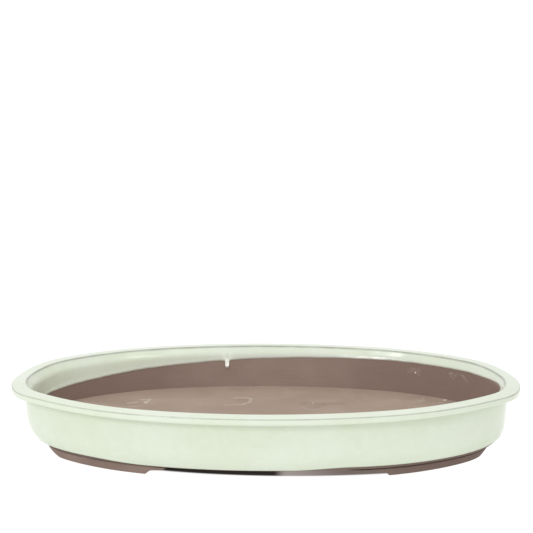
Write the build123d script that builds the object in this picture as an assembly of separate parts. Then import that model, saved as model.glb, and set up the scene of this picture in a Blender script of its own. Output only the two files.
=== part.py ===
from build123d import *
from math import atan2, cos, hypot, radians, sin, tan
import os

# Bonsai pot: a large, shallow oval tray of stoneware, glazed outside and over the rim.
# Millimetres, +Z up, origin under the middle of the pot, at the level of the table.

# The plan: an oval drawn with tangent arcs of three radii, measured at the rim's outer edge.
# Places round the oval are given by the direction its edge faces, in degrees from +X.
LENGTH = 600.0
DEPTH = 360.0
END_RADIUS = 130.0
END_FACING = 47.0
SHOULDER_FACING = 75.0

# The section of the pot. "In" is the distance inwards from the outer edge of the rim.
FOOT_HEIGHT = 11.0
FLOOR_BOTTOM = 25.0
FLOOR_TOP = 37.0
PARTING_HEIGHT = 70.0
BASE_EDGE_IN = 44.0
RING_INNER_IN = 68.0
GLAZE = 0.7

# Corners of the glazed surface, from the base up the outside, over the rim and down the inside:
# distance in, height, and the radius that rounds the corner.
SURFACE = [
    (BASE_EDGE_IN, FOOT_HEIGHT, 0.0),
    (20.7, 28.7, 48.0),
    (17.0, 75.0, 3.0),
    (0.0, 76.4, 2.6),
    (0.0, 84.0, 1.6),
    (17.3, 85.4, 2.4),
    (25.5, 76.0, 9.0),
    (32.0, FLOOR_TOP, 0.0),
]
# The glaze stops short of the base outside and part of the way down the wall inside.
GLAZE_BARE_BASE = 7.0
GLAZE_INNER_HEIGHT = 71.0

# The feet: four curved strips luted under the base ring. Each stands on the table between its
# heel and its toe. Beyond the toe it runs on as a thin strip, and beyond the heel as a step.
FOOT_TOP_IN = 45.5
FOOT_BOTTOM_IN = 48.0
FOOT_INNER_IN = 66.0
FOOT_TOE_FACING = 71.0
FOOT_STRIP_FACING = 78.5
FOOT_HEEL_FACING = 18.6
FOOT_STEP_FACING = 10.5
STRIP_THICKNESS = 3.0
STEP_THICKNESS = 4.5

# Holes through the floor: two for drainage and two for the wire that ties the tree down.
DRAIN_DIAMETER = 30.0
DRAIN_X = 120.0
WIRE_HOLE_DIAMETER = 6.0
WIRE_HOLE_X = 60.0

# How far the shapes that only cut away material reach past the pot.
MARGIN = 20.0


def oval_arcs():
    """The arcs round the oval: x and y of the centre, radius, first facing and turn."""
    c1, s1 = cos(radians(END_FACING)), sin(radians(END_FACING))
    c2, s2 = cos(radians(SHOULDER_FACING)), sin(radians(SHOULDER_FACING))
    along = LENGTH / 2 - END_RADIUS * (1 - c1)
    across = DEPTH / 2 - END_RADIUS * s1
    share = (c1 - c2) * (1 - s2) - c2 * (s2 - s1)
    shoulder_radius = (along * (1 - s2) - c2 * across) / share
    side_radius = ((c1 - c2) * across - (s2 - s1) * along) / share
    end_x = LENGTH / 2 - END_RADIUS
    shoulder_x = end_x - (shoulder_radius - END_RADIUS) * c1
    shoulder_y = -(shoulder_radius - END_RADIUS) * s1
    side_y = DEPTH / 2 - side_radius
    end_turn = 2 * END_FACING
    shoulder_turn = SHOULDER_FACING - END_FACING
    side_turn = 180 - 2 * SHOULDER_FACING
    return [
        (end_x, 0.0, END_RADIUS, -END_FACING, end_turn),
        (shoulder_x, shoulder_y, shoulder_radius, END_FACING, shoulder_turn),
        (0.0, side_y, side_radius, SHOULDER_FACING, side_turn),
        (-shoulder_x, shoulder_y, shoulder_radius, 180 - SHOULDER_FACING, shoulder_turn),
        (-end_x, 0.0, END_RADIUS, 180 - END_FACING, end_turn),
        (-shoulder_x, -shoulder_y, shoulder_radius, 180 + END_FACING, shoulder_turn),
        (0.0, -side_y, side_radius, 180 + SHOULDER_FACING, side_turn),
        (shoulder_x, -shoulder_y, shoulder_radius, 360 - SHOULDER_FACING, shoulder_turn),
    ]


OVAL_ARCS = oval_arcs()


def arcs_between(first, last):
    """The stretch of the oval between two facings."""
    stretch = []
    for x, y, radius, start, turn in OVAL_ARCS:
        low = max(start, first)
        high = min(start + turn, last)
        if high > low:
            stretch.append((x, y, radius, low, high - low))
    return stretch


def offset_corners(corners, distance):
    """Move a cornered path sideways, towards the clay, and fit its rounding radii to match."""
    moved = []
    last = len(corners) - 1
    for index, (x, y, radius) in enumerate(corners):
        x0, y0, _ = corners[max(index - 1, 0)]
        x1, y1, _ = corners[min(index + 1, last)]
        before = (x - x0, y - y0) if index > 0 else (x1 - x, y1 - y)
        after = (x1 - x, y1 - y) if index < last else before
        n0 = (before[1] / hypot(*before), -before[0] / hypot(*before))
        n1 = (after[1] / hypot(*after), -after[0] / hypot(*after))
        scale = distance / (1 + n0[0] * n1[0] + n0[1] * n1[1])
        turn = before[0] * after[1] - before[1] * after[0]
        new_radius = radius + (distance if turn > 0 else -distance) if radius > 0 else 0.0
        moved.append((x + (n0[0] + n1[0]) * scale, y + (n0[1] + n1[1]) * scale, new_radius))
    return moved


def rounded_path(corners):
    """Turn corners into a list of lines and arcs: (points of one piece, in order)."""
    pieces = []
    here = corners[0][:2]
    for index in range(1, len(corners) - 1):
        x, y, radius = corners[index]
        x0, y0, _ = corners[index - 1]
        x1, y1, _ = corners[index + 1]
        back = (x0 - x, y0 - y)
        ahead = (x1 - x, y1 - y)
        ub = (back[0] / hypot(*back), back[1] / hypot(*back))
        ua = (ahead[0] / hypot(*ahead), ahead[1] / hypot(*ahead))
        half = atan2(abs(ub[0] * ua[1] - ub[1] * ua[0]), ub[0] * ua[0] + ub[1] * ua[1]) / 2
        reach = radius / tan(half)
        start = (x + ub[0] * reach, y + ub[1] * reach)
        end = (x + ua[0] * reach, y + ua[1] * reach)
        mid_dir = (ub[0] + ua[0], ub[1] + ua[1])
        mid_len = hypot(*mid_dir)
        to_arc = radius / sin(half) - radius
        middle = (x + mid_dir[0] / mid_len * to_arc, y + mid_dir[1] / mid_len * to_arc)
        pieces.append((here, start))
        pieces.append((start, middle, end))
        here = end
    pieces.append((here, corners[-1][:2]))
    return pieces


def path_edges(pieces, radius):
    """The same path as edges, with distance-in turned into distance from an arc's centre."""
    edges = []
    for piece in pieces:
        points = [(radius - x, y) for x, y in piece]
        if len(points) == 2:
            edges.append(Line(*points))
        else:
            edges.append(ThreePointArc(*points))
    return edges


def closed_section(pieces, extra, radius):
    """A face made of a path and the straight lines through the extra points that close it."""
    edges = path_edges(pieces, radius)
    chain = [pieces[-1][-1]] + extra + [pieces[0][0]]
    for start, end in zip(chain, chain[1:]):
        edges.append(Line((radius - start[0], start[1]), (radius - end[0], end[1])))
    return make_face(edges)


def ring(section_of, arcs=OVAL_ARCS):
    """Carry a section round the given arcs of the oval and join the lengths."""
    whole = None
    for x, y, radius, start, turn in arcs:
        section = Plane.XZ * section_of(radius)
        length = Pos(x, y, 0) * Rot(0, 0, start) * revolve(section, Axis.Z, turn)
        whole = length if whole is None else whole + length
    return whole


def oval_plate(inset, bottom, top):
    """A flat oval plate whose edge lies the given distance in from the rim."""
    edges = []
    for x, y, radius, start, turn in OVAL_ARCS:
        edges.append(CenterArc((x, y), radius - inset, start, turn))
    return Pos(0, 0, bottom) * extrude(make_face(edges), top - bottom)


def at_height(a, b, height):
    """The point where the line through two points reaches a height."""
    return (a[0] + (b[0] - a[0]) * (height - a[1]) / (b[1] - a[1]), height, 0.0)


def trimmed(corners, start_trim, end_height):
    """Shorten a cornered path: a length off its first line, and a height for its last point."""
    (x0, y0, _), (x1, y1, _) = corners[0], corners[1]
    share = start_trim / hypot(x1 - x0, y1 - y0)
    first = (x0 + (x1 - x0) * share, y0 + (y1 - y0) * share, 0.0)
    return [first] + corners[1:-1] + [at_height(corners[-2], corners[-1], end_height)]


def glaze_section(radius):
    """The thin band between the glazed surface and the clay under it."""
    back = [piece[::-1] for piece in reversed(inner_path)]
    lower_edge = (back[-1][-1], outer_path[0][0])
    upper_edge = (outer_path[-1][-1], back[0][0])
    return make_face(path_edges(outer_path + [upper_edge] + back + [lower_edge], radius))


def foot_section(radius):
    """A foot cut across: it leans in a little on the outside."""
    corners = [(FOOT_TOP_IN, FOOT_HEIGHT), (FOOT_BOTTOM_IN, 0.0), (FOOT_INNER_IN, 0.0),
               (FOOT_INNER_IN, FOOT_HEIGHT)]
    return make_face(Polyline(*[(radius - x, z) for x, z in corners], close=True))


def end_cut(facing, direction, cove, length):
    """What is cut from a foot's end: a hollow of the cove's radius, then all beyond it."""
    centre_x, centre_y, radius, _, _ = arcs_between(facing, facing + 0.1)[0]
    middle = radius - (FOOT_TOP_IN + FOOT_INNER_IN) / 2
    width = FOOT_INNER_IN - FOOT_TOP_IN + MARGIN
    frame = Pos(centre_x, centre_y, 0) * Rot(0, 0, facing) * Pos(middle, direction * cove, 0)
    round_part = frame * Rot(0, 90, 0) * Cylinder(cove, width)
    block = Box(width, length, cove + MARGIN)
    flat_part = frame * Pos(0, direction * length / 2, (cove - MARGIN) / 2) * block
    return round_part + flat_part


clay_surface = offset_corners(SURFACE, GLAZE)

# The clay wall with its base ring and rim, as one ring, then parted where the rim strip joins.
clay_start = at_height(clay_surface[0], clay_surface[1], FOOT_HEIGHT)
clay_end = at_height(clay_surface[-2], clay_surface[-1], FLOOR_TOP)
floor_edge_in = clay_end[0]
clay_path = rounded_path([clay_start] + clay_surface[1:-1] + [clay_end])
ring_corners = [(floor_edge_in, FLOOR_BOTTOM), (RING_INNER_IN, FLOOR_BOTTOM),
                (RING_INNER_IN, FOOT_HEIGHT)]
clay = ring(lambda radius: closed_section(clay_path, ring_corners, radius))
under_parting = Box(LENGTH + MARGIN, DEPTH + MARGIN, PARTING_HEIGHT + MARGIN)
under_parting = Pos(0, 0, (PARTING_HEIGHT - MARGIN) / 2) * under_parting
side_wall = clay & under_parting
rim_lip = clay - under_parting

# The floor slab lies on the ledge inside the base ring, with its holes.
floor_slab = oval_plate(floor_edge_in, FLOOR_BOTTOM, FLOOR_TOP)
middle_height = (FLOOR_BOTTOM + FLOOR_TOP) / 2
holes = [(-DRAIN_X, DRAIN_DIAMETER), (-WIRE_HOLE_X, WIRE_HOLE_DIAMETER),
         (WIRE_HOLE_X, WIRE_HOLE_DIAMETER), (DRAIN_X, DRAIN_DIAMETER)]
for x, diameter in holes:
    floor_slab -= Pos(x, 0, middle_height) * Cylinder(diameter / 2, FLOOR_TOP - FLOOR_BOTTOM + MARGIN)

# The glaze coat, from the bare base up the outside, over the rim and part of the way down.
outer_path = rounded_path(trimmed(SURFACE, GLAZE_BARE_BASE, GLAZE_INNER_HEIGHT))
inner_path = rounded_path(trimmed(clay_surface, GLAZE_BARE_BASE, GLAZE_INNER_HEIGHT))
glaze_coat = ring(glaze_section)

# The feet: one shape, mirrored to the four places.
back_foot = ring(foot_section, arcs_between(FOOT_STEP_FACING, FOOT_STRIP_FACING))
back_foot -= end_cut(FOOT_TOE_FACING, 1, FOOT_HEIGHT - STRIP_THICKNESS, 60)
back_foot -= end_cut(FOOT_HEEL_FACING, -1, FOOT_HEIGHT - STEP_THICKNESS, 30)
front_foot = back_foot.mirror(Plane.XZ)
pieces = {
    "floor_slab": floor_slab,
    "side_wall": side_wall,
    "rim_lip": rim_lip,
    "foot_front_right": front_foot,
    "foot_front_left": front_foot.mirror(Plane.YZ),
    "foot_back_right": back_foot,
    "foot_back_left": back_foot.mirror(Plane.YZ),
    "glaze_coat": glaze_coat,
}

os.makedirs("parts", exist_ok=True)
for name, shape in pieces.items():
    export_step(shape, f"parts/{name}.step")
    box = shape.bounding_box()
    print(name, len(shape.solids()), round(shape.volume), box.min, box.max)
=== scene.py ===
import math

import bmesh
import bpy
import numpy as np
from mathutils import Matrix, Vector, noise


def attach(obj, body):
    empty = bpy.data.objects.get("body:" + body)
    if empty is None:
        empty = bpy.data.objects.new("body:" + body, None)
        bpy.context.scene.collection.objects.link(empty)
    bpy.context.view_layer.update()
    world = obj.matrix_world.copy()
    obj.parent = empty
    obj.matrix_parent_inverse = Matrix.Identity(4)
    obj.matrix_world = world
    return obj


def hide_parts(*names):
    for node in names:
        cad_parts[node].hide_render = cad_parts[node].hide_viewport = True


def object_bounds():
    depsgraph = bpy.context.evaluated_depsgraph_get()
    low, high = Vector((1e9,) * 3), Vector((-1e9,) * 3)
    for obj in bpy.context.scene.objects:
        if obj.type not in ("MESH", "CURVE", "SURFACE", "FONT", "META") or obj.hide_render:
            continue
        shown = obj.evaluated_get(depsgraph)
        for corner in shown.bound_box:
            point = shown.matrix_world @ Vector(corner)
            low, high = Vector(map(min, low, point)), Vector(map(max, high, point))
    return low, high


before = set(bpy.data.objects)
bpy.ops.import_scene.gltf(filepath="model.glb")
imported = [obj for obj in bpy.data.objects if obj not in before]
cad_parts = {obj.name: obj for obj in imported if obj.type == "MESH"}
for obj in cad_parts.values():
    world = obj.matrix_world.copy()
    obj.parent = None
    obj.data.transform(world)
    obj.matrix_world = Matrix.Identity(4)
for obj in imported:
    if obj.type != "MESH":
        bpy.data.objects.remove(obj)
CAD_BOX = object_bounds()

# Looks of a large oval bonsai tray: pale green-cream glaze over grey-brown stoneware.
# Distances are millimetres, turned into metres for meshes and shaders, except those of the
# lights and the table, which are metres. A facing is the way that a place on the oval looks,
# in degrees from the right end's.
MM = 0.001

# The plan of the rim's outer edge: an oval whose radius changes smoothly with its facing.
LENGTH = (CAD_BOX[1][0] - CAD_BOX[0][0]) / MM
DEPTH = (CAD_BOX[1][1] - CAD_BOX[0][1]) / MM
END_RADIUS = 130.0
SHOULDER_RADIUS = 281.0
SIDE_RADIUS = 534.0
END_FACING = 47.0
SHOULDER_FACING = 75.0
BLEND = 9.0

# Heights above the table, and the section from the base up, over the rim and down inside.
# A corner of the section is a distance in from the rim's outer edge, a height and the
# radius that rounds it.
FOOT_HEIGHT = 11.0
FLOOR_BOTTOM = 25.0
FLOOR_TOP = 37.0
PARTING_HEIGHT = 70.0
RING_INNER_IN = 68.0
RING_EDGE = 0.6
GLAZE = 0.7
WALL_TOP = (17.0, 75.0)
LIP_BOTTOM = (0.0, 76.4)
RIM_TOP_OUTER = (0.0, 84.0)
RIM_TOP_INNER = (17.3, 85.4)
SURFACE = [
    (44.0, FOOT_HEIGHT, 0.0),
    (20.7, 28.7, 48.0),
    (*WALL_TOP, 3.0),
    (*LIP_BOTTOM, 2.6),
    (*RIM_TOP_OUTER, 1.6),
    (*RIM_TOP_INNER, 2.4),
    (25.5, 76.0, 9.0),
    (32.0, FLOOR_TOP, 0.0),
]

# How the pot departs from a plain, level oval. The rim dips at the pot's ends: fully up to
# the first of these facings, not beyond the second, and less on its inner side. The dip
# fades out downwards, from the upper of these heights to the lower.
END_DIP = 4.2
DIP_REACH = (14.0, 50.0)
DIP_HEIGHTS = (36.0, 72.0)
DIP_LOST_INSIDE = 0.35

# The body under the rim is fuller at the ends and leans to the right, more at the base than
# at the top. The base also leans forward at the right: not before the first of these places
# along X, and fully from the second. It fades into the top's shape between these heights.
FULLER_TOP = 2.8
FULLER_BASE = 9.1
LEAN_TOP = 0.3
LEAN_BASE = 1.7
LEAN_FORWARD = 4.0
FORWARD_REACH = (60.0, 170.0)
BASE_HEIGHTS = (10.0, 50.0)

# How finely the oval's quarter, each rounding and the section are worked out, and how far
# round and how finely a plan has extra points at its fine places.
QUARTER_POINTS = 2001
ROUNDING_POINTS = 60
SECTION_STEP = 0.02
FINE_REACH = 9.0
FINE_STEP = 0.35


def smooth(value, low, high):
    """0 below low, 1 above high, and an S curve between them."""
    share = np.clip((value - low) / (high - low), 0.0, 1.0)
    return share * share * (3 - 2 * share)


def bump(value, centre, width):
    """A bell of height 1 round the centre."""
    return np.exp(-(((value - centre) / width) ** 2))


class Plan:
    """Points round the rim's outer edge, each with the way it faces and its distance round."""

    def __init__(self, spacing, fine_places=()):
        # A quarter of the oval, from the right end to the back, summed up from its radius.
        quarter = np.linspace(0.0, math.pi / 2, QUARTER_POINTS)
        degrees = np.degrees(quarter)
        shoulder = smooth(degrees, END_FACING - BLEND, END_FACING + BLEND)
        side = smooth(degrees, SHOULDER_FACING - BLEND, SHOULDER_FACING + BLEND)
        radius = END_RADIUS + (SHOULDER_RADIUS - END_RADIUS) * shoulder
        radius = radius + (SIDE_RADIUS - SHOULDER_RADIUS) * side
        step = quarter[1] - quarter[0]

        def summed(values):
            return np.concatenate([[0.0], np.cumsum((values[1:] + values[:-1]) / 2 * step)])

        inward = summed(radius * np.sin(quarter))
        onward = summed(radius * np.cos(quarter))
        x = (inward[-1] - inward) * (LENGTH / 2) / inward[-1]
        y = onward * (DEPTH / 2) / onward[-1]

        # The whole loop: the back, from right to left, and the front.
        back = np.column_stack([np.concatenate([x, -x[-2::-1]]), np.concatenate([y, y[-2::-1]])])
        loop = np.concatenate([back, -back[1:]])
        steps = np.hypot(*np.diff(loop, axis=0).T)
        travel = np.concatenate([[0.0], np.cumsum(steps)])
        length = travel[-1]

        # The places that the points take round the loop.
        count = int(length / spacing)
        self.around = np.linspace(0.0, length, count, endpoint=False)
        for place in fine_places:
            centre = travel[np.argmin(np.hypot(loop[:, 0] - place[0], loop[:, 1] - place[1]))]
            extra = np.arange(centre - FINE_REACH, centre + FINE_REACH, FINE_STEP)
            kept = np.abs(self.around - centre) > FINE_REACH
            self.around = np.sort(np.concatenate([self.around[kept], extra]))
        self.x = np.interp(self.around, travel, loop[:, 0])
        self.y = np.interp(self.around, travel, loop[:, 1])

        # The way out, square to the loop's direction, which is known half way along each step.
        middle = (travel[1:] + travel[:-1]) / 2
        tangent = np.diff(loop, axis=0) / steps[:, None]
        wrapped = np.concatenate([middle[-1:] - length, middle, middle[:1] + length])
        tangent = np.concatenate([tangent[-1:], tangent, tangent[:1]])
        tx = np.interp(self.around, wrapped, tangent[:, 0])
        ty = np.interp(self.around, wrapped, tangent[:, 1])
        size = np.hypot(tx, ty)
        self.nx = ty / size
        self.ny = -tx / size

    def wave(self, seed, wavelength):
        """Smooth noise round the pot, about -1 to 1, the same each time for a seed."""
        values = []
        for x, y in zip(self.x, self.y):
            where = Vector((x / wavelength, y / wavelength, seed * 7.31))
            values.append(noise.fractal(where, 1.0, 2.0, 3))
        return np.array(values)

    def place(self, inset, height, outside):
        """Turn distances in from the rim, and heights, into points in metres.

        The rim dips a little at the pot's two ends. Where outside is 1, a point is on the
        outside of the body, which is fuller at the ends, leans a little to the right, and
        leans forward at the right.
        """
        nx = self.nx[:, None]
        height = np.broadcast_to(height, np.broadcast_shapes(nx.shape, np.shape(height)))
        near_end = 1 - smooth(np.degrees(np.arccos(np.clip(np.abs(nx), 0, 1))), *DIP_REACH)
        across_rim = np.clip(inset / RIM_TOP_INNER[0], 0, 1)
        of_rim = (1 - DIP_LOST_INSIDE * across_rim) * smooth(height, *DIP_HEIGHTS)
        lower = 1 - smooth(height, *BASE_HEIGHTS)
        fuller = FULLER_TOP + (FULLER_BASE - FULLER_TOP) * lower
        lean = LEAN_TOP + (LEAN_BASE - LEAN_TOP) * lower
        x = self.x[:, None] - inset * nx + outside * (lean + fuller * nx * np.abs(nx))
        y = self.y[:, None] - inset * self.ny[:, None]
        y = y - outside * LEAN_FORWARD * lower * smooth(self.x[:, None], *FORWARD_REACH)
        return np.stack([x, y, height - END_DIP * near_end * of_rim], axis=-1) * MM


def offset_corners(corners, distance):
    """Move a cornered path sideways, into the clay, and fit its rounding radii to match."""
    moved = []
    last = len(corners) - 1
    for index, (x, y, radius) in enumerate(corners):
        x0, y0, _ = corners[max(index - 1, 0)]
        x1, y1, _ = corners[min(index + 1, last)]
        before = (x - x0, y - y0) if index > 0 else (x1 - x, y1 - y)
        after = (x1 - x, y1 - y) if index < last else before
        n0 = (before[1] / math.hypot(*before), -before[0] / math.hypot(*before))
        n1 = (after[1] / math.hypot(*after), -after[0] / math.hypot(*after))
        scale = distance / (1 + n0[0] * n1[0] + n0[1] * n1[1])
        turn = before[0] * after[1] - before[1] * after[0]
        new_radius = radius + (distance if turn > 0 else -distance) if radius > 0 else 0.0
        moved.append((x + (n0[0] + n1[0]) * scale, y + (n0[1] + n1[1]) * scale, new_radius))
    return moved


class Section:
    """A cornered path with rounded corners, read by the distance along it."""

    def __init__(self, corners):
        pieces = [np.array([corners[0][:2]])]
        for before, corner, after in zip(corners, corners[1:], corners[2:]):
            pieces.append(self.rounding(before, corner, after))
        pieces.append(np.array([corners[-1][:2]]))
        rough = np.concatenate(pieces)
        far = np.concatenate([[0.0], np.cumsum(np.hypot(*np.diff(rough, axis=0).T))])
        keep = np.concatenate([[True], np.diff(far) > 1e-9])
        rough, far = rough[keep], far[keep]
        self.along = np.arange(0.0, far[-1], SECTION_STEP)
        self.inset = np.interp(self.along, far, rough[:, 0])
        self.height = np.interp(self.along, far, rough[:, 1])
        self.length = far[-1]
        slope_in = np.gradient(self.inset, SECTION_STEP)
        slope_up = np.gradient(self.height, SECTION_STEP)
        size = np.hypot(slope_in, slope_up)
        self.out_in = -slope_up / size
        self.out_up = slope_in / size

    @staticmethod
    def rounding(before, corner, after):
        """Points of the arc that rounds one corner."""
        x, y, radius = corner
        to_before = np.array([before[0] - x, before[1] - y])
        to_after = np.array([after[0] - x, after[1] - y])
        to_before /= np.hypot(*to_before)
        to_after /= np.hypot(*to_after)
        half = math.acos(float(np.dot(to_before, to_after))) / 2
        reach = radius / math.tan(half)
        bisector = (to_before + to_after) / np.hypot(*(to_before + to_after))
        centre = np.array([x, y]) + bisector * radius / math.sin(half)
        start = np.array([x, y]) + to_before * reach - centre
        turning = start[1] * to_before[0] - start[0] * to_before[1]
        turn = (math.pi - 2 * half) * np.sign(turning)
        angles = np.linspace(0.0, turn, ROUNDING_POINTS)
        cos, sin = np.cos(angles), np.sin(angles)
        return centre + np.column_stack([start[0] * cos - start[1] * sin,
                                         start[0] * sin + start[1] * cos])

    def at(self, along, raised=0.0):
        """Inset and height at distances along, raised from the surface."""
        inset = np.interp(along, self.along, self.inset)
        height = np.interp(along, self.along, self.height)
        out_in = np.interp(along, self.along, self.out_in)
        out_up = np.interp(along, self.along, self.out_up)
        return inset + out_in * raised, height + out_up * raised

    def nearest(self, inset, height):
        """The distance along at which the path passes nearest to a point."""
        index = np.argmin(np.hypot(self.inset - inset, self.height - height))
        return self.along[index]


def grid_mesh(name, points, closed_round=True, values=None):
    """A mesh of quads through a grid of points: first index round the pot, second along.

    It is always closed along the section. Each of the values is one number for each point.
    """
    rows, columns = points.shape[:2]
    mesh = bpy.data.meshes.new(name)
    row = np.arange(rows if closed_round else rows - 1)[:, None]
    column = np.arange(columns)[None, :]
    next_row = (row + 1) % rows
    next_column = (column + 1) % columns
    corners = [row * columns + column, next_row * columns + column,
               next_row * columns + next_column, row * columns + next_column]
    quads = np.stack(corners, axis=-1).reshape(-1, 4)
    mesh.from_pydata(points.reshape(-1, 3).tolist(), [], quads.tolist())
    for key, value in (values or {}).items():
        layer = mesh.attributes.new(key, "FLOAT", "POINT")
        layer.data.foreach_set("value", np.ascontiguousarray(value, dtype=np.float32).ravel())
    return mesh


def add_piece(mesh, material, node, sharp=35.0):
    """Show a mesh as a piece that stands for a CAD node and rides the pot's one body."""
    mesh.validate()
    mesh.shade_smooth()
    mesh.set_sharp_from_angle(angle=math.radians(sharp))
    piece = bpy.data.objects.new(mesh.name, mesh)
    bpy.context.scene.collection.objects.link(piece)
    piece.data.materials.append(material)
    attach(piece, "root")
    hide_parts(node)


# ---- shader helpers -------------------------------------------------------------------

# The size of the turns in a wobbly line.
WOBBLE_SIZE = 9.0


class Shader:
    """A material's node tree, with short ways to add the nodes that are used here."""

    def __init__(self, name):
        self.material = bpy.data.materials.new(name)
        self.material.use_nodes = True
        self.nodes = self.material.node_tree.nodes
        self.links = self.material.node_tree.links
        self.principled = self.nodes["Principled BSDF"]
        self.position = self.nodes.new("ShaderNodeTexCoord").outputs["Object"]

    def put(self, socket, value):
        """Link a node's output to a socket, or set the socket to a constant."""
        if isinstance(value, bpy.types.NodeSocket):
            self.links.new(value, socket)
        else:
            socket.default_value = value

    def attribute(self, name):
        """A value that the mesh carries at each of its points."""
        node = self.nodes.new("ShaderNodeAttribute")
        node.attribute_name = name
        return node.outputs["Fac"]

    def math(self, operation, first, second, clamp=False):
        """The result of a sum, product or comparison of two values."""
        node = self.nodes.new("ShaderNodeMath")
        node.operation = operation
        node.use_clamp = clamp
        self.put(node.inputs[0], first)
        self.put(node.inputs[1], second)
        return node.outputs[0]

    def vector(self, operation, first, second=None, output=0):
        """The result of vector arithmetic: output 0 is a vector and output 1 is a number."""
        node = self.nodes.new("ShaderNodeVectorMath")
        node.operation = operation
        self.put(node.inputs[0], first)
        if second is not None:
            self.put(node.inputs[3] if operation == "SCALE" else node.inputs[1], second)
        return node.outputs[output]

    def coordinate(self, x, y, z):
        """How far along the axis (x, y, z) each point of the surface is, in metres."""
        return self.vector("DOT_PRODUCT", self.position, (x, y, z), output=1)

    def steps(self, value, low, high, to_low=0.0, to_high=1.0):
        """A smooth change from to_low at low to to_high at high."""
        node = self.nodes.new("ShaderNodeMapRange")
        node.interpolation_type = "SMOOTHSTEP"
        self.put(node.inputs["Value"], value)
        node.inputs["From Min"].default_value = low
        node.inputs["From Max"].default_value = high
        node.inputs["To Min"].default_value = to_low
        node.inputs["To Max"].default_value = to_high
        return node.outputs[0]

    def noise(self, size, detail=3.0, roughness=0.5, stretch=(1, 1, 1), shift=0.0):
        """Noise whose features are about size millimetres across, stretched along each axis."""
        mapping = self.nodes.new("ShaderNodeMapping")
        self.links.new(self.position, mapping.inputs["Vector"])
        mapping.inputs["Scale"].default_value = [1 / (size * MM * part) for part in stretch]
        mapping.inputs["Location"].default_value = (shift, shift * 1.7, shift * 0.6)
        node = self.nodes.new("ShaderNodeTexNoise")
        self.links.new(mapping.outputs[0], node.inputs["Vector"])
        node.inputs["Scale"].default_value = 1.0
        node.inputs["Detail"].default_value = detail
        node.inputs["Roughness"].default_value = roughness
        return node.outputs["Fac"]

    def specks(self, size, share, largest, shift=0.0):
        """Small round specks, in a share of the cells of a Voronoi pattern of the given size."""
        mapping = self.nodes.new("ShaderNodeMapping")
        self.links.new(self.position, mapping.inputs["Vector"])
        mapping.inputs["Scale"].default_value = [1 / (size * MM)] * 3
        mapping.inputs["Location"].default_value = (shift, shift, shift)
        node = self.nodes.new("ShaderNodeTexVoronoi")
        self.links.new(mapping.outputs[0], node.inputs["Vector"])
        node.inputs["Scale"].default_value = 1.0
        chosen = self.nodes.new("ShaderNodeSeparateColor")
        self.links.new(node.outputs["Color"], chosen.inputs[0])
        kept = self.math("LESS_THAN", chosen.outputs[0], share)
        radius = self.math("MULTIPLY", chosen.outputs[1], largest)
        inside = self.math("LESS_THAN", node.outputs["Distance"], radius)
        return self.math("MULTIPLY", kept, inside)

    def near(self, points, width, soft, wobble=0.0, seen_along_y=False):
        """1 within width of a line through points in millimetres, fading to 0 over soft.

        With seen_along_y, distances along Y don't count.
        """
        where = self.position
        if seen_along_y:
            where = self.vector("MULTIPLY", where, (1, 0, 1))
        if wobble:
            turbulence = self.nodes.new("ShaderNodeTexNoise")
            turbulence.inputs["Scale"].default_value = 1 / (WOBBLE_SIZE * MM)
            self.links.new(where, turbulence.inputs["Vector"])
            centred = self.vector("SUBTRACT", turbulence.outputs["Color"], (0.5, 0.5, 0.5))
            where = self.vector("ADD", where, self.vector("SCALE", centred, 2 * wobble * MM))
        nearest = None
        for first, second in zip(points, points[1:]):
            a = Vector(first) * MM
            along = Vector(second) * MM - a
            per_length = along / max(along.length_squared, 1e-12)
            from_a = self.vector("SUBTRACT", where, a)
            share = self.vector("DOT_PRODUCT", from_a, per_length, output=1)
            share = self.math("ADD", share, 0.0, clamp=True)
            foot = self.vector("SCALE", along, share)
            gap = self.vector("DISTANCE", from_a, foot, output=1)
            nearest = gap if nearest is None else self.math("MINIMUM", nearest, gap)
        return self.steps(nearest, width * MM, (width + soft) * MM, 1.0, 0.0)

    def mix(self, share, first, second):
        """The first colour where share is 0, and the second where it is 1."""
        node = self.nodes.new("ShaderNodeMix")
        node.data_type = "RGBA"
        self.put(node.inputs["Factor"], share)
        self.put(node.inputs["A"], first)
        self.put(node.inputs["B"], second)
        return node.outputs["Result"]

    def bump(self, height, depth, below=None):
        """A bump whose height runs from 0 to 1 over the given depth in millimetres."""
        node = self.nodes.new("ShaderNodeBump")
        node.inputs["Strength"].default_value = 1.0
        node.inputs["Distance"].default_value = depth * MM
        self.put(node.inputs["Height"], height)
        if below is not None:
            self.put(node.inputs["Normal"], below)
        return node.outputs[0]


def linear(red, green, blue):
    """A colour given as 0-255 screen values, as the linear colour that shaders use."""
    parts = [part / 255 for part in (red, green, blue)]
    return tuple(p / 12.92 if p <= 0.04045 else ((p + 0.055) / 1.055) ** 2.4 for p in parts) + (1.0,)


# ---- camera, light and floor ------------------------------------------------------------

# The camera stands in front of the rim's middle, above it and a little to its right, and
# looks down on it. Its lens and sensor are millimetres too, and its reach is metres.
RIM_HEIGHT = RIM_TOP_OUTER[1]
CAMERA_RIGHT = 45.0
CAMERA_DISTANCE = 3000.0
CAMERA_ELEVATION = math.radians(14.46)
CAMERA_PITCH = math.radians(11.92)
CAMERA_YAW = math.radians(-0.87)
CAMERA_ROLL = math.radians(0.03)
CAMERA_LENS = 171.6
CAMERA_SENSOR = 36.0
CAMERA_REACH = 100.0


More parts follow.
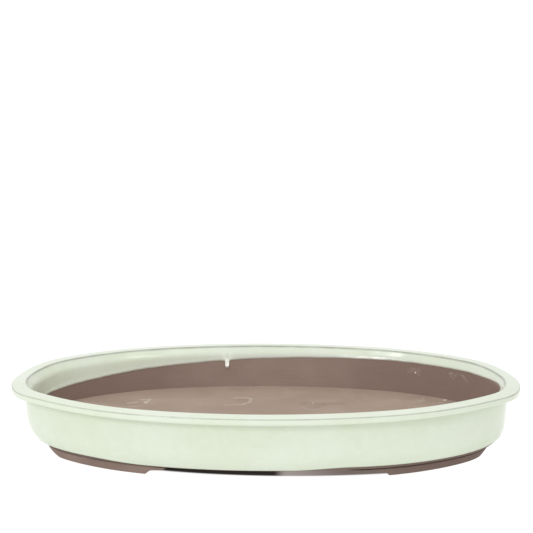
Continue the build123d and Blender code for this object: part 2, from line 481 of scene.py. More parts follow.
def make_camera():
    """The scene's camera, placed and turned by the values above."""
    data = bpy.data.cameras.new("camera")
    data.sensor_width = CAMERA_SENSOR
    data.lens = CAMERA_LENS
    data.clip_end = CAMERA_REACH
    camera = bpy.data.objects.new("camera", data)
    bpy.context.scene.collection.objects.link(camera)
    place = Vector((CAMERA_RIGHT, -CAMERA_DISTANCE * math.cos(CAMERA_ELEVATION),
                    RIM_HEIGHT + CAMERA_DISTANCE * math.sin(CAMERA_ELEVATION))) * MM
    forward = Vector((math.sin(CAMERA_YAW) * math.cos(CAMERA_PITCH),
                      math.cos(CAMERA_YAW) * math.cos(CAMERA_PITCH), -math.sin(CAMERA_PITCH)))
    right = Vector((math.cos(CAMERA_YAW), -math.sin(CAMERA_YAW), 0.0))
    up = right.cross(forward)
    cos, sin = math.cos(CAMERA_ROLL), math.sin(CAMERA_ROLL)
    right, up = right * cos + up * sin, up * cos - right * sin
    turn = Matrix((right, up, -forward)).transposed()
    camera.matrix_world = Matrix.Translation(place) @ turn.to_4x4()
    bpy.context.scene.camera = camera


def add_softbox(name, place, aim, size, power, colour=(1, 1, 1)):
    """A rectangular lamp at a place, turned towards its aim. Its size is width and height."""
    light = bpy.data.lights.new(name, "AREA")
    light.shape = "RECTANGLE"
    light.size, light.size_y = size
    light.energy = power
    light.color = colour
    lamp = bpy.data.objects.new(name, light)
    bpy.context.scene.collection.objects.link(lamp)
    direction = Vector(aim) - Vector(place)
    lamp.matrix_world = (Matrix.Translation(place)
                         @ direction.to_track_quat("-Z", "Y").to_matrix().to_4x4())


SURROUNDING_LIGHT = 0.85
COOL_WHITE = (0.93, 0.965, 1.0)


def make_lights():
    """Five softboxes, the backdrop behind the pot among them, in an even white surrounding."""
    world = bpy.data.worlds.new("studio")
    world.use_nodes = True
    background = world.node_tree.nodes["Background"]
    background.inputs["Color"].default_value = (1.0, 1.0, 1.0, 1.0)
    background.inputs["Strength"].default_value = SURROUNDING_LIGHT
    bpy.context.scene.world = world
    pot = (0, 0, 0)
    add_softbox("high_left", (-0.83, -0.77, 2.2), aim=pot, size=(0.6, 0.4), power=10.0)
    add_softbox("high_right", (0.9, -0.72, 2.2), aim=pot, size=(0.5, 0.4), power=3.0)
    add_softbox("overhead", (0, -0.45, 2.5), aim=pot, size=(1.2, 0.6), power=3.2)
    add_softbox("front_left", (-1.15, -2.3, 1.3), aim=(0, 0, 0.05), size=(0.6, 0.5), power=13.2,
                colour=COOL_WHITE)
    add_softbox("backdrop", (0, 5.6, 1.45), aim=(0, 0, 1.45), size=(9.0, 2.9), power=9.0)


# The table glows softly and evenly, as a light table does, except under the pot, where two
# ovals overlap and a painted shadow takes the glow's place: the middle of each along X, and
# its half sizes. The glow fades in over the outer share of each oval. Under the pot the
# painted shadow changes from left to right, darkest at the left, with painted light in the
# middle, between each of these pairs of places along X.
TABLE_REACH = 60.0
TABLE_GREY = (0.16, 0.16, 0.16, 1.0)
TABLE_GLOW = 0.97
SHADOW_OVALS = ((0.0, 0.2535, 0.1315), (0.025, 0.262, 0.1195))
OVAL_EDGE = (0.95, 1.0)
PAINTED_SHADE_UNDER_LEFT = (0.012, 0.010, 0.009, 1.0)
PAINTED_SHADE_UNDER_MIDDLE = (0.34, 0.30, 0.28, 1.0)
PAINTED_SHADE_UNDER_RIGHT = (0.17, 0.135, 0.12, 1.0)
LEFT_TO_MIDDLE = (0.010, 0.026)
MIDDLE_TO_RIGHT = (0.02, 0.10)


def table_material():
    """Matt paper that glows evenly, with a painted shadow where the pot stands."""
    paper = Shader("paper")
    paper.principled.inputs["Base Color"].default_value = TABLE_GREY
    paper.principled.inputs["Roughness"].default_value = 0.9
    paper.principled.inputs["Specular IOR Level"].default_value = 0.1
    outside = 0.0
    for middle, half_x, half_y in SHADOW_OVALS:
        under = paper.vector("SUBTRACT", paper.position, (middle, 0.0, 0.0))
        under = paper.vector("MULTIPLY", under, (1 / half_x, 1 / half_y, 0.0))
        distance = paper.vector("LENGTH", under, output=1)
        outside = paper.math("MAXIMUM", paper.steps(distance, *OVAL_EDGE), outside)
    across = paper.coordinate(1, 0, 0)
    # Painted shade under the pot: near black at the left, with painted light in the middle, darker
    # again at the right.
    right = paper.mix(paper.steps(across, *MIDDLE_TO_RIGHT), PAINTED_SHADE_UNDER_MIDDLE, PAINTED_SHADE_UNDER_RIGHT)
    painted_shade_under = paper.mix(paper.steps(across, *LEFT_TO_MIDDLE), PAINTED_SHADE_UNDER_LEFT, right)
    glow = paper.mix(outside, painted_shade_under, (1.0, 1.0, 1.0, 1.0))
    paper.put(paper.principled.inputs["Emission Color"], glow)
    paper.principled.inputs["Emission Strength"].default_value = TABLE_GLOW
    return paper.material


def make_table():
    """The table that the pot stands on, as the stage's floor."""
    mesh = bpy.data.meshes.new("floor")
    low, high = -TABLE_REACH, TABLE_REACH
    corners = [(low, low, 0), (high, low, 0), (high, high, 0), (low, high, 0)]
    mesh.from_pydata(corners, [], [(0, 1, 2, 3)])
    floor = bpy.data.objects.new("floor", mesh)
    bpy.context.scene.collection.objects.link(floor)
    mesh.materials.append(table_material())


make_camera()
make_lights()
make_table()
bpy.context.scene.view_settings.view_transform = "Standard"


# ---- glaze ------------------------------------------------------------------------------

GLAZE_GREEN = linear(209, 217, 196)
GLAZE_CREAM = linear(213, 220, 203)
GLAZE_PALE = linear(220, 226, 211)
GLAZE_POOLED_AND_SHADED = linear(194, 206, 181)
GLAZE_GREYED = linear(198, 200, 190)
GLAZE_THICK_AND_HIGHLIGHT = linear(248, 250, 240)
GLAZE_THIN = linear(122, 118, 112)
BROWN_SPECK = linear(120, 108, 92)
DARK_SPECK = linear(110, 92, 76)

# The one dark speck low on the front wall.
SPECK_PLACE = (-12.0, -158.0, 27.0)
SPECK_RADIUS = 0.7


def glaze_material():
    """Glossy glaze: softly clouded, deeper where it pools and in painted shade under the lip, grey
    where it is thin, and pale where it is thick and in a painted highlight.
    """
    shader = Shader("glaze")
    thin = shader.attribute("thin")
    pool_and_shade = shader.attribute("pool_and_shade")
    cloud = shader.noise(80, detail=2.0)
    mottle = shader.noise(11, detail=4.0, roughness=0.6, shift=3.1)
    colour = shader.mix(shader.steps(cloud, 0.35, 0.65), GLAZE_GREEN, GLAZE_CREAM)
    colour = shader.mix(shader.steps(mottle, 0.3, 0.75, 0.0, 0.35), colour, GLAZE_PALE)
    uneven = shader.steps(shader.noise(14, shift=5.0), 0.2, 0.8, 0.7, 1.0)
    # One tint for glaze pooled near the lower edge outside, and for painted shade under the lip.
    colour = shader.mix(shader.math("MULTIPLY", pool_and_shade, uneven), colour, GLAZE_POOLED_AND_SHADED)
    grey = shader.math("MULTIPLY", shader.attribute("grey"), uneven)
    colour = shader.mix(grey, colour, GLAZE_GREYED)
    # One pale colour for the thick glaze of the run, and for a painted highlight along the lower
    # edge inside.
    colour = shader.mix(shader.attribute("thick_and_highlight"), colour, GLAZE_THICK_AND_HIGHLIGHT)
    broken = shader.steps(shader.noise(26, shift=8.0), 0.25, 0.7, 0.6, 1.0)
    colour = shader.mix(shader.math("MULTIPLY", thin, broken), colour, GLAZE_THIN)
    colour = shader.mix(shader.specks(34, 0.10, 0.03, shift=2.0), colour, BROWN_SPECK)
    speck = shader.near((SPECK_PLACE, SPECK_PLACE), SPECK_RADIUS, 0.5)
    colour = shader.mix(speck, colour, DARK_SPECK)
    shader.put(shader.principled.inputs["Base Color"], colour)
    shader.principled.inputs["IOR"].default_value = 1.5
    rough = shader.steps(shader.noise(18, detail=3.0, shift=6.0), 0.3, 0.7, 0.06, 0.13)
    shader.put(shader.principled.inputs["Roughness"], rough)
    ripple = shader.bump(shader.noise(16, detail=1.0, shift=1.0), 0.10)
    peel = shader.bump(shader.noise(2.2, detail=2.0, shift=4.0), 0.010, below=ripple)
    shader.put(shader.principled.inputs["Normal"], peel)
    return shader.material


# Where a run of glaze hangs down the inside at the back, how far, and half how wide.
DRIP_PLACE = (-53.0, 180.0)
DRIP_LENGTH = 8.2
DRIP_HALF_WIDTH = 2.75

# The glaze's lower edge inside: its height at the back right, and by how much the height
# changes between two facings, counted from the right end by way of the back. At the right
# end it is this much higher, which fades out between these facings.
EDGE_BACK_RIGHT = 74.4
EDGE_CHANGES = [
    (-1.2, 92, 108),
    (-18.4, 69, 144),
    (15.1, 185, 300),
    (4.5, 300, 345),
    (3.6, 345, 359),
]
EDGE_END_RISE = 3.6
EDGE_END_REACH = (8, 40)

# How far up the bare base shows below the glaze, at the back and at the front, and how much
# more at the front's left and right, at the right end, at its very tip, and at the left end.
BARE_BACK = 5.0
BARE_FRONT = 1.6
MORE_FRONT_LEFT = 5.2
MORE_FRONT_RIGHT = 6.0
MORE_RIGHT = 4.5
MORE_RIGHT_TIP = 5.0
MORE_LEFT = 3.5


def inner_edge_height(plan):
    """Height of the lower edge of the glaze inside: high at the right, low at the left end."""
    facing = np.degrees(np.arctan2(plan.ny, plan.nx)) % 360
    height = EDGE_BACK_RIGHT + EDGE_END_RISE * (1 - smooth(facing, *EDGE_END_REACH))
    for change, low, high in EDGE_CHANGES:
        height = height + change * smooth(facing, low, high)
    return height + 0.45 * plan.wave(1, 60) + 0.25 * plan.wave(2, 14)


def outer_edge_start(plan):
    """How far up the bare base shows below the glaze: least at the front, left of the middle."""
    front = smooth(-plan.ny, 0.0, 0.4)
    left = smooth(-plan.x, 150, 230)
    right = smooth(plan.x, 35, 105)
    at_front = BARE_FRONT + MORE_FRONT_LEFT * left + MORE_FRONT_RIGHT * right
    start = BARE_BACK + front * (at_front - BARE_BACK)
    start = start + MORE_RIGHT * smooth(plan.nx, 0.55, 0.9)
    start = start + MORE_RIGHT_TIP * smooth(plan.nx, 0.78, 1.0)
    start = start + MORE_LEFT * smooth(-plan.nx, 0.6, 0.95)
    return start + 0.25 * plan.wave(3, 60) + 0.15 * plan.wave(4, 12)


# Distances of the mesh's columns from the glaze's lower edges outside and inside.
FROM_LOW_EDGE = np.array([0.0, 0.1, 0.3, 0.6, 1.0, 1.6, 2.4, 3.4, 4.8, 6.4])
FROM_HIGH_EDGE = np.array([3.6, 2.6, 1.9, 1.4, 1.0, 0.7, 0.45, 0.25, 0.1, 0.0])

# The glaze thins over this distance to its edges, which are sunk this deep in the clay. Its
# hidden side is deeper.
EDGE_FALL = 1.1
EDGE_DEPTH = 0.1
HIDDEN_DEPTH = 0.25
HIDDEN_COARSENESS = 6


class GlazeCoat:
    """The skin of glaze, from its edge on the base, over the rim, to its edge inside.

    Its rows go round the pot, and its columns go along the section.
    """

    def __init__(self, plan, section):
        self.plan = plan
        self.section = section
        self.wall_top = section.nearest(*WALL_TOP)
        self.lip_bottom = section.nearest(*LIP_BOTTOM)
        self.top_outer = section.nearest(*RIM_TOP_OUTER)
        self.top_inner = section.nearest(*RIM_TOP_INNER)
        drip = np.argmin(np.hypot(plan.x - DRIP_PLACE[0], plan.y - DRIP_PLACE[1]))
        self.from_drip = plan.around - plan.around[drip]
        self.rounded = np.sqrt(np.clip(1 - (self.from_drip / DRIP_HALF_WIDTH) ** 2, 0, 1))
        self.start = outer_edge_start(plan)
        self.stop = self.inner_edge_stop()
        self.along = self.columns()
        self.from_low = self.along - self.start[:, None]
        self.from_high = self.stop[:, None] - self.along
        self.run = smooth(self.rounded, 0.0, 0.5)[:, None]
        self.hanging = 1 - smooth(self.from_high, DRIP_LENGTH, DRIP_LENGTH + 5)

    def inner_edge_stop(self):
        """Where along the section the glaze ends inside, which is lower where the run hangs."""
        inner = self.section.along > self.top_inner
        edge = inner_edge_height(self.plan)
        stop = np.interp(-edge, -self.section.height[inner], self.section.along[inner])
        stop = stop + (DRIP_LENGTH - DRIP_HALF_WIDTH) * (self.rounded > 0)
        stop = stop + DRIP_HALF_WIDTH * self.rounded
        return stop + 0.9 * bump(self.from_drip, 0.0, 4.5)

    def columns(self):
        """Distances along the section, closest together at the edges and where it turns."""
        # The same all round: up the wall, under the lip, and over the rim into the bowl.
        fixed = np.unique(np.concatenate([
            np.linspace(26.0, self.wall_top - 5, 22),
            np.linspace(self.wall_top - 5, self.wall_top + 4, 9),
            np.linspace(self.wall_top + 4, self.lip_bottom - 4, 4),
            np.linspace(self.lip_bottom - 4, self.lip_bottom + 3.5, 12),
            np.linspace(self.top_outer - 2.8, self.top_outer + 2.8, 21),
            np.linspace(self.top_outer + 2.8, self.top_inner - 3.0, 9),
            np.linspace(self.top_inner - 3.0, self.top_inner + 4.0, 24),
        ]))

        # Following the two edges, and evenly between them and the fixed ones.
        low = self.start[:, None] + FROM_LOW_EDGE
        low_fill = low[:, -1:] + (fixed[0] - low[:, -1:]) * np.linspace(0.0, 1.0, 12)[1:-1]
        high = self.stop[:, None] - FROM_HIGH_EDGE
        high = np.maximum(high, fixed[-1] + 0.02 * np.arange(1, len(FROM_HIGH_EDGE) + 1))
        high_fill = fixed[-1] + (high[:, :1] - fixed[-1]) * np.linspace(0.0, 1.0, 14)[1:-1]
        middle = np.broadcast_to(fixed, (len(self.stop), len(fixed)))
        return np.concatenate([low, low_fill, middle, high_fill, high], axis=1)

    def raised(self):
        """How far the glaze is raised from the plain surface: beads at its edges, and the run."""
        bead_low = 0.45 * bump(self.from_low, 2.2, 1.6)
        bead_high = (0.35 + 0.9 * self.run) * bump(self.from_high, 2.0, 1.7)
        ripple = 0.12 * self.plan.wave(5, 45)[:, None] * bump(self.along, self.along.mean(), 45)
        falling = np.sqrt(np.clip(self.from_low / EDGE_FALL, 0, 1))
        falling = falling * np.sqrt(np.clip(self.from_high / EDGE_FALL, 0, 1))
        raised = (bead_low + bead_high + GLAZE + ripple) * falling - GLAZE - EDGE_DEPTH
        ridge = 0.8 * self.rounded[:, None] * smooth(self.from_high, 0.0, 2.5) * self.hanging
        return raised + ridge

    def points(self, along, raised):
        """Points at distances along the section, raised from the plain surface."""
        inset, height = self.section.at(along, raised)
        outside = 1 - smooth(along, self.wall_top - 3, self.lip_bottom)
        return self.plan.place(inset, height, outside)

    def values(self):
        """What the material needs at each point: how thin, pooled, greyed and thick it is, and where
        painted shade and a painted highlight lie.
        """
        plan = self.plan
        from_low = self.from_low
        from_high = self.from_high

        # Thin lines along the rim's two edges, stronger at the back.
        back = smooth(plan.ny, -0.75, 0.1)[:, None]
        thin = (0.62 + 0.2 * back) * bump(self.along, self.top_outer - 0.1, 0.85)
        thin = thin + (0.45 + 0.3 * back) * bump(self.along, self.top_inner + 1.1, 1.45)

        # Pooled above the lower edge outside, more at the ends; and painted shade under the lip,
        # where the lip shades the wall.
        ends = smooth(np.abs(plan.nx), 0.45, 0.85)[:, None]
        pool_and_shade = 0.9 * bump(from_low, 1.0, 2.6) + 0.42 * bump(from_low, 6.0, 12.0)
        pool_and_shade = pool_and_shade + 0.5 * bump(from_low, 5.0, 12.0) * ends
        # Painted shade on the wall just under the lip.
        pool_and_shade = pool_and_shade + 0.5 * bump(self.along, self.wall_top - 3.0, 6.0)

        # Grey along the lower edge inside, but hardly beside the run, and less at the ends.
        beside = bump(self.from_drip, 0.0, 5.0)[:, None]
        far_out = smooth(np.abs(plan.x), 150, 230)[:, None]
        grey = 0.75 * bump(from_high, 0.0, 3.0) + 0.4 * bump(from_high, 3.0, 6.0)
        grey = grey * (1 - 0.9 * beside) * (1 - 0.5 * far_out)

        # Thick in the run and beside its top; and a broken painted highlight along the lower edge,
        # at the back right.
        cap = beside * bump(from_high, 6.0, 4.0) * (1 - self.run)
        painted_highlight = smooth(plan.x, 90, 128) * (1 - smooth(plan.x, 148, 160)) * smooth(plan.ny, 0.0, 0.5)
        painted_highlight = painted_highlight * np.clip(0.75 + 0.6 * plan.wave(7, 12), 0, 1)
        thick_and_highlight = 0.9 * self.run * self.hanging + 0.6 * cap
        thick_and_highlight = thick_and_highlight + painted_highlight[:, None] * bump(from_high, 1.0, 1.3)
        return {"thin": thin, "pool_and_shade": pool_and_shade, "grey": grey, "thick_and_highlight": thick_and_highlight}


def make_glaze():
    """The glaze coat, closed by a coarser inner side that lies hidden in the clay."""
    coat = GlazeCoat(Plan(1.4, [DRIP_PLACE]), Section(SURFACE))
    hidden = coat.along[:, ::-HIDDEN_COARSENESS]
    front = coat.points(coat.along, coat.raised())
    back = coat.points(hidden, -GLAZE - HIDDEN_DEPTH)
    values = {}
    for name, value in coat.values().items():
        values[name] = np.concatenate([np.clip(value, 0, 1), np.zeros(hidden.shape)], axis=1)
    mesh = grid_mesh("glaze_coat_skin", np.concatenate([front, back], axis=1), values=values)
    add_piece(mesh, glaze_material(), "glaze_coat", sharp=60.0)


make_glaze()


# ---- clay -------------------------------------------------------------------------------

# Each clay is its light and dark colour and the colour of its dust.
WALL_CLAY = (linear(150, 129, 119), linear(141, 120, 110), linear(163, 144, 134))
FLOOR_CLAY = (linear(160, 141, 127), linear(150, 131, 117), linear(176, 159, 145))
FOOT_CLAY = (linear(136, 117, 107), linear(119, 100, 91), linear(151, 132, 121))
DARK_GRIT = linear(96, 78, 68)
PALE_GRIT = linear(196, 182, 166)
WALL_AT_ENDS = linear(114, 94, 84)
WALL_LOW_SHADE = linear(84, 68, 62)
FOOT_SHADE_AT_RIGHT = linear(96, 79, 73)
FOOT_CREASE_SHADE = linear(66, 52, 47)
CHALK = linear(214, 206, 196)
PALE = linear(236, 228, 216)
DUSKY = linear(112, 94, 88)


def clay_material(name, light, dark, dust, dust_share):
    """Unglazed stoneware: faintly blotched, finely grained, with faint level streaks."""
    shader = Shader(name)
    blotch = shader.noise(60, detail=3.0, shift=2.0)
    grain = shader.noise(0.9, detail=2.0, roughness=0.7)
    streak = shader.noise(6, detail=3.0, stretch=(9, 9, 0.5), shift=7.0)
    colour = shader.mix(shader.steps(blotch, 0.25, 0.75), dark, light)
    colour = shader.mix(shader.steps(streak, 0.35, 0.75, 0.0, 0.25), colour, dark)
    colour = shader.mix(shader.steps(grain, 0.35, 0.75, 0.0, 0.3), colour, dust)
    cloud = shader.steps(shader.noise(38, detail=4.0, shift=9.0), 0.45, 0.8)
    colour = shader.mix(shader.math("MULTIPLY", cloud, dust_share), colour, dust)
    colour = shader.mix(shader.specks(9, 0.10, 0.07, shift=1.0), colour, DARK_GRIT)
    colour = shader.mix(shader.specks(13, 0.07, 0.05, shift=6.0), colour, PALE_GRIT)
    shader.put(shader.principled.inputs["Roughness"], shader.steps(blotch, 0.3, 0.7, 0.78, 0.9))
    shader.principled.inputs["Specular IOR Level"].default_value = 0.3
    streaked = shader.bump(streak, 0.2)
    grained = shader.bump(grain, 0.06, below=streaked)
    shader.put(shader.principled.inputs["Normal"], grained)
    shader.colour = colour
    return shader


def add_mark(shader, colour, points, width, share, wobble=0.0, patchy=True, on_back=False):
    """Blend a worn mark into a material: a line or dab through points in millimetres.

    A mark on the back wall is drawn as seen along Y, and only behind the middle of the pot.
    """
    fade = shader.near(points, width, width * 0.8, wobble, on_back)
    if on_back:
        behind = shader.math("GREATER_THAN", shader.coordinate(0, 1, 0), 0.0)
        fade = shader.math("MULTIPLY", fade, behind)
    if patchy:
        broken = shader.steps(shader.noise(1.6, detail=3.0, shift=points[0][0] * 0.01), 0.3, 0.6)
        fade = shader.math("MULTIPLY", fade, broken)
    amount = shader.math("MULTIPLY", fade, share)
    shader.colour = shader.mix(amount, shader.colour, colour)


def finish_clay(shader):
    """The material, once every mark has been blended into its colour."""
    shader.put(shader.principled.inputs["Base Color"], shader.colour)
    return shader.material


def wall_clay(name):
    """The clay of the wall and rim, which is darker towards the pot's ends."""
    shader = clay_material(name, *WALL_CLAY, 0.3)
    across = shader.vector("MULTIPLY", shader.position, (1, 0, 0))
    from_middle = shader.vector("LENGTH", across, output=1)
    ends = shader.steps(from_middle, 30 * MM, 170 * MM, 0.0, 0.5)
    shader.colour = shader.mix(ends, shader.colour, WALL_AT_ENDS)
    return shader


def wall_material():
    """The wall's clay, with painted shade low down on the bare base, and with the worn marks on its
    inside.
    """
    shader = wall_clay("wall_clay")
    # Painted shade: the clay darkens below the floor's height, most on the bare base under the
    # glaze.
    low = shader.steps(shader.coordinate(0, 0, 1), 28 * MM, 36 * MM, 0.6, 0.0)
    shader.colour = shader.mix(low, shader.colour, WALL_LOW_SHADE)

    def dab(colour, places, width, share, wobble=0.0, patchy=True):
        points = [(x, 0.0, z) for x, z in places]
        add_mark(shader, colour, points, width, share, wobble, patchy, on_back=True)

    dab(PALE, [(181.4, 62.8), (181.9, 63.4)], 0.6, 0.75, patchy=False)
    dab(CHALK, [(174, 64), (179, 66.5), (185, 66), (186, 62)], 1.8, 0.09, 1.0)
    dab(CHALK, [(222.5, 69.1), (224.8, 70)], 1.3, 0.25)
    dab(CHALK, [(223, 65), (223.7, 65.5)], 0.9, 0.15)
    dab(CHALK, [(229.0, 76), (235.5, 70.2), (242, 64)], 1.0, 0.17, 1.2)
    dab(CHALK, [(236, 76.5), (231, 70.5), (226.5, 63.7)], 1.0, 0.10, 1.2)
    return finish_clay(shader)


def floor_material():
    """The floor's clay, with its dusky patches and worn marks."""
    shader = clay_material("floor_clay", *FLOOR_CLAY, 0.45)

    def dab(colour, places, width, share, wobble=0.0, patchy=True):
        points = [(x, y, FLOOR_TOP) for x, y in places]
        add_mark(shader, colour, points, width, share, wobble, patchy)

    dab(DUSKY, [(-35, 79), (-25, 81)], 4.0, 0.25, 2.0)
    dab(CHALK, [(-39, 90), (-24, 91), (-19, 86), (-20, 72), (-28, 60)], 1.6, 0.32, 1.5)
    dab(CHALK, [(-28, 60), (-50, 56)], 1.4, 0.3, 1.0)
    dab(CHALK, [(-167, 63), (-157, 67.5)], 1.3, 0.5, 1.0)
    dab(CHALK, [(-164, 48), (-155, 48.5)], 1.0, 0.3, 1.0)
    dab(CHALK, [(-153.5, 80), (-141, 83), (-146, 66)], 1.2, 0.5, 1.0)
    dab(CHALK, [(-147, 70), (-146, 65)], 1.6, 0.55)
    dab(DUSKY, [(-208, 104), (-205, 105)], 1.0, 0.7)
    dab(DUSKY, [(48, 64), (65, 60), (56, 50)], 6.0, 0.30, 3.0)
    dab(DUSKY, [(74, 64), (90, 65)], 5.0, 0.25, 3.0)
    dab(CHALK, [(56, 75), (56, 64)], 0.9, 0.28, 0.6)
    dab(CHALK, [(185, 77), (191, 82)], 1.3, 0.4)
    dab(CHALK, [(190, 94), (190.4, 89)], 0.9, 0.3)
    dab(PALE, [(215.7, 83.6), (217.2, 84.6)], 1.2, 0.9, patchy=False)
    dab(CHALK, [(210, 71), (213, 71.4)], 1.0, 0.3)
    return finish_clay(shader)


def foot_material():
    """The feet's clay, with painted shade in the crease under the wall, and painted shade growing
    towards the right.
    """
    shader = clay_material("foot_clay", *FOOT_CLAY, 0.4)
    # Painted shade in the crease at the top of each foot, under the wall.
    crease_shade = shader.steps(shader.coordinate(0, 0, 1), 8.6 * MM, 10.2 * MM, 0.0, 0.75)
    patchy = shader.steps(shader.noise(30, shift=3.0), 0.3, 0.6, 0.4, 1.0)
    # Painted shade towards the right, away from the light.
    shade_to_right = shader.steps(shader.coordinate(1, 0, 0), 0.0, 200 * MM, 0.0, 0.6)
    shader.colour = shader.mix(shade_to_right, shader.colour, FOOT_SHADE_AT_RIGHT)
    shader.colour = shader.mix(shader.math("MULTIPLY", crease_shade, patchy), shader.colour, FOOT_CREASE_SHADE)
    return finish_clay(shader)


def extended(corners, first_height, last_height):
    """The path with its first and last lines carried on to the given heights."""

    def at_height(a, b, height):
        return (a[0] + (b[0] - a[0]) * (height - a[1]) / (b[1] - a[1]), height, 0.0)

    first = at_height(corners[0], corners[1], first_height)
    last = at_height(corners[-2], corners[-1], last_height)
    return [first] + corners[1:-1] + [last]


# The clay's section is the surface's, moved in by the glaze's thickness. About half way over
# the rim its outside becomes its inside.
CLAY = Section(extended(offset_corners(SURFACE, GLAZE), FOOT_HEIGHT, FLOOR_TOP))
RIM_MIDDLE = CLAY.nearest(8.0, 84.9)


def parting_places():
    """Where the clay's section crosses the parting height, outside and inside."""
    outside = CLAY.along < RIM_MIDDLE
    up_to = np.interp(PARTING_HEIGHT, CLAY.height[outside], CLAY.along[outside])
    down_from = np.interp(-PARTING_HEIGHT, -CLAY.height[~outside], CLAY.along[~outside])
    return up_to, down_from


def make_wall():
    """The side wall with its base ring, below the parting line, as one closed ring."""
    plan = Plan(1.8)
    up_to, down_from = parting_places()
    outer = np.concatenate([[0.0, 0.4, 1.0], np.linspace(2.0, up_to, 30)])
    inner = np.concatenate([np.linspace(down_from, CLAY.length - 2.0, 34),
                            CLAY.length - np.array([1.2, 0.6, 0.0])])
    inset_out, height_out = CLAY.at(outer)
    inset_in, height_in = CLAY.at(inner)
    # Back under the floor and the ring: distances in, heights, and how far each point goes
    # with the outside of the body.
    below = np.array([
        (inset_in[-1], FLOOR_BOTTOM, 0.0),
        (RING_INNER_IN, FLOOR_BOTTOM, 0.0),
        (RING_INNER_IN, FOOT_HEIGHT + RING_EDGE, 0.0),
        (RING_INNER_IN - RING_EDGE, FOOT_HEIGHT, 0.2),
        (inset_out[0] + 8, FOOT_HEIGHT, 0.8),
        (inset_out[0] + 0.5, FOOT_HEIGHT, 1.0),
    ])
    inset = np.concatenate([inset_out, inset_in, below[:, 0]])
    height = np.concatenate([height_out, height_in, below[:, 1]])
    outside = np.concatenate([np.ones(len(outer)), np.zeros(len(inner)), below[:, 2]])
    mesh = grid_mesh("side_wall_clay", plan.place(inset[None, :], height[None, :], outside))
    add_piece(mesh, wall_material(), "side_wall")


def make_rim():
    """The clay of the rim strip, which shows only inside, between the wall and the glaze."""
    plan = Plan(2.4)
    along = np.linspace(*parting_places(), 70)
    inset, height = CLAY.at(along)
    outside = 1 - smooth(height, 73, 76) * (along < RIM_MIDDLE) - (along > RIM_MIDDLE)
    mesh = grid_mesh("rim_lip_clay", plan.place(inset[None, :], height[None, :], outside))
    add_piece(mesh, finish_clay(wall_clay("rim_clay")), "rim_lip")


# A foot's underside past its toe: how far past, and how high it has risen there. The
# clay strip thins out slowly on three feet and ends sooner on the front left one.
LONG_TOE = [(0, 0), (0.8, 0.9), (3.0, 3.2), (5.5, 4.6), (9, 5.8), (16, 7.2), (28, 8.4),
            (45, 9.6), (52, 11)]
SHORT_TOE = [(0, 0), (1.2, 1.1), (3.0, 3.2), (5.0, 4.6), (8, 5.3), (17, 6.2), (21, 7.6), (25, 11)]

# The same past its heel, at the pot's end: it rises over a longer stretch on that foot.
SHORT_HEEL = [(0, 0), (3, 1.0), (6, 2.3), (9, 4.5), (14, 8), (17, 11)]
LONG_HEEL = [(0, 0), (9, 1.7), (17, 3.9), (24, 6.5), (29, 11)]

# The foot's section, as distances in from the rim's outer edge. Its outer face slopes, with
# a groove just under its top, and its top goes a little way into the base. A distance round
# the foot is about this share of one round the rim.
FOOT_TOP_IN = 46.0
FOOT_BOTTOM_IN = 48.2
FOOT_MIDDLE_IN = 57.0
FOOT_INNER_IN = 66.0
FOOT_OVERLAP = 0.6
FOOT_ROUNDING = 0.7
FOOT_TO_RIM = 0.82
GROOVE_BELOW_TOP = (2.4, 0.8)
FACE_SHARES = np.array([0.0, 0.07, 0.13, 0.18, 0.24, 0.35, 0.55, 0.75, 0.9])

# How much of the body's shift a foot's underside shares. Its top shares all of it.
FOOT_FOLLOWS = 0.6

# Each foot: its node, the signs of X and Y in its quarter, the facing where its heel begins
# to rise and the heel, the same for its toe, and how deep its groove is.
FEET = [
    ("foot_front_right", 1, -1, 23.0, SHORT_HEEL, 70.9, LONG_TOE, 2.0),
    ("foot_front_left", -1, -1, 34.0, LONG_HEEL, 71.9, SHORT_TOE, 0.4),
    ("foot_back_right", 1, 1, 24.0, SHORT_HEEL, 71.0, LONG_TOE, 1.4),
    ("foot_back_left", -1, 1, 26.0, SHORT_HEEL, 71.0, LONG_TOE, 1.0),
]


def foot_underside(plan, side_x, side_y, heel_facing, heel, toe_facing, toe):
    """The points of the plan over a foot, in order from heel to toe, and how high it is there."""
    facing = np.degrees(np.arctan2(plan.ny * side_y, plan.nx * side_x))
    quarter = (facing > 0) & (facing < 90)
    order = np.argsort(facing[quarter])
    chosen = np.nonzero(quarter)[0][order]
    facing = facing[chosen]
    step = np.hypot(np.diff(plan.x[chosen]), np.diff(plan.y[chosen]))
    travel = np.concatenate([[0.0], np.cumsum(step)])
    past_heel = (np.interp(heel_facing, facing, travel) - travel) * FOOT_TO_RIM
    past_toe = (travel - np.interp(toe_facing, facing, travel)) * FOOT_TO_RIM
    under = np.maximum(np.interp(past_heel, *zip(*heel)), np.interp(past_toe, *zip(*toe)))
    kept = under < FOOT_HEIGHT - 0.25
    chosen = chosen[kept]
    under = under[kept]
    uneven = 0.12 * np.maximum(0, plan.wave(11, 20)[chosen]) * (under < 0.1)
    return chosen, under + uneven


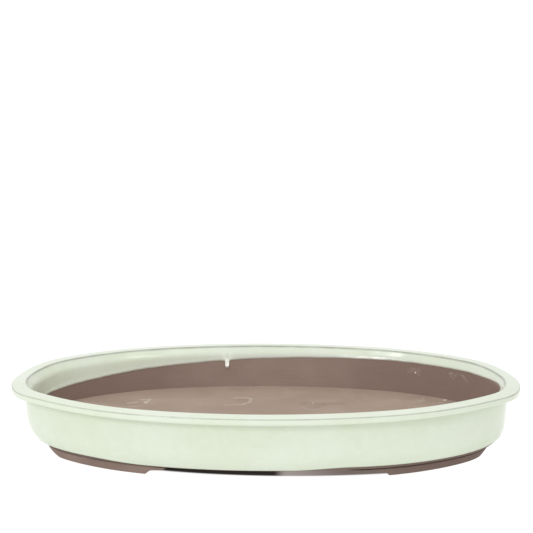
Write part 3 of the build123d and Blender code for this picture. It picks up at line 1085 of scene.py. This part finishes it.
def foot_face_in(height, groove):
    """How far in a foot's outer face is at a height, where its groove is so deep."""
    risen = np.clip(height / FOOT_HEIGHT, 0, 1)
    sloped = FOOT_BOTTOM_IN + (FOOT_TOP_IN - FOOT_BOTTOM_IN) * risen
    low, high = GROOVE_BELOW_TOP
    return sloped + groove * smooth(height, FOOT_HEIGHT - low, FOOT_HEIGHT - high)


def make_foot(material, node, side_x, side_y, heel_facing, heel, toe_facing, toe, groove):
    """One foot as a closed sweep, on the quarter of the oval given by two signs."""
    plan = Plan(0.5)
    chosen, under = foot_underside(plan, side_x, side_y, heel_facing, heel, toe_facing, toe)
    for name in ("x", "y", "nx", "ny"):
        setattr(plan, name, getattr(plan, name)[chosen])
    under = under[:, None]
    top = FOOT_HEIGHT + FOOT_OVERLAP
    rounding = np.minimum(FOOT_ROUNDING, (top - under) * 0.3)
    face_height = top - (top - under - rounding) * FACE_SHARES
    bottom_in = foot_face_in(under, groove)
    ones = np.ones(under.shape)
    sweep = [
        (foot_face_in(face_height, groove), face_height),
        (foot_face_in(under + rounding, groove), under + rounding),
        (bottom_in + 0.3 * rounding, under + 0.3 * rounding),
        (bottom_in + rounding, under),
        (FOOT_MIDDLE_IN * ones, under),
        (FOOT_INNER_IN - rounding, under),
        (FOOT_INNER_IN * ones, under + rounding),
        (FOOT_INNER_IN * ones, top * ones),
    ]
    inset, height = (np.concatenate(part, axis=1) for part in zip(*sweep))
    outside = np.interp(height, [0, FOOT_HEIGHT], [FOOT_FOLLOWS, 1.0])
    mesh = grid_mesh(node + "_clay", plan.place(inset, height, outside), closed_round=False)
    close_ends(mesh, *inset.shape)
    add_piece(mesh, material, node)


def close_ends(mesh, rows, columns):
    """Cap the two open ends of a swept mesh, and turn all its faces outwards."""
    shape = bmesh.new()
    shape.from_mesh(mesh)
    shape.verts.ensure_lookup_table()
    shape.faces.new([shape.verts[i] for i in range(columns)])
    shape.faces.new([shape.verts[(rows - 1) * columns + i] for i in range(columns)])
    bmesh.ops.recalc_face_normals(shape, faces=shape.faces)
    shape.to_mesh(mesh)
    shape.free()


make_wall()
make_rim()
foot_clay = foot_material()
for foot in FEET:
    make_foot(foot_clay, *foot)
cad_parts["floor_slab"].material_slots[0].material = floor_material()
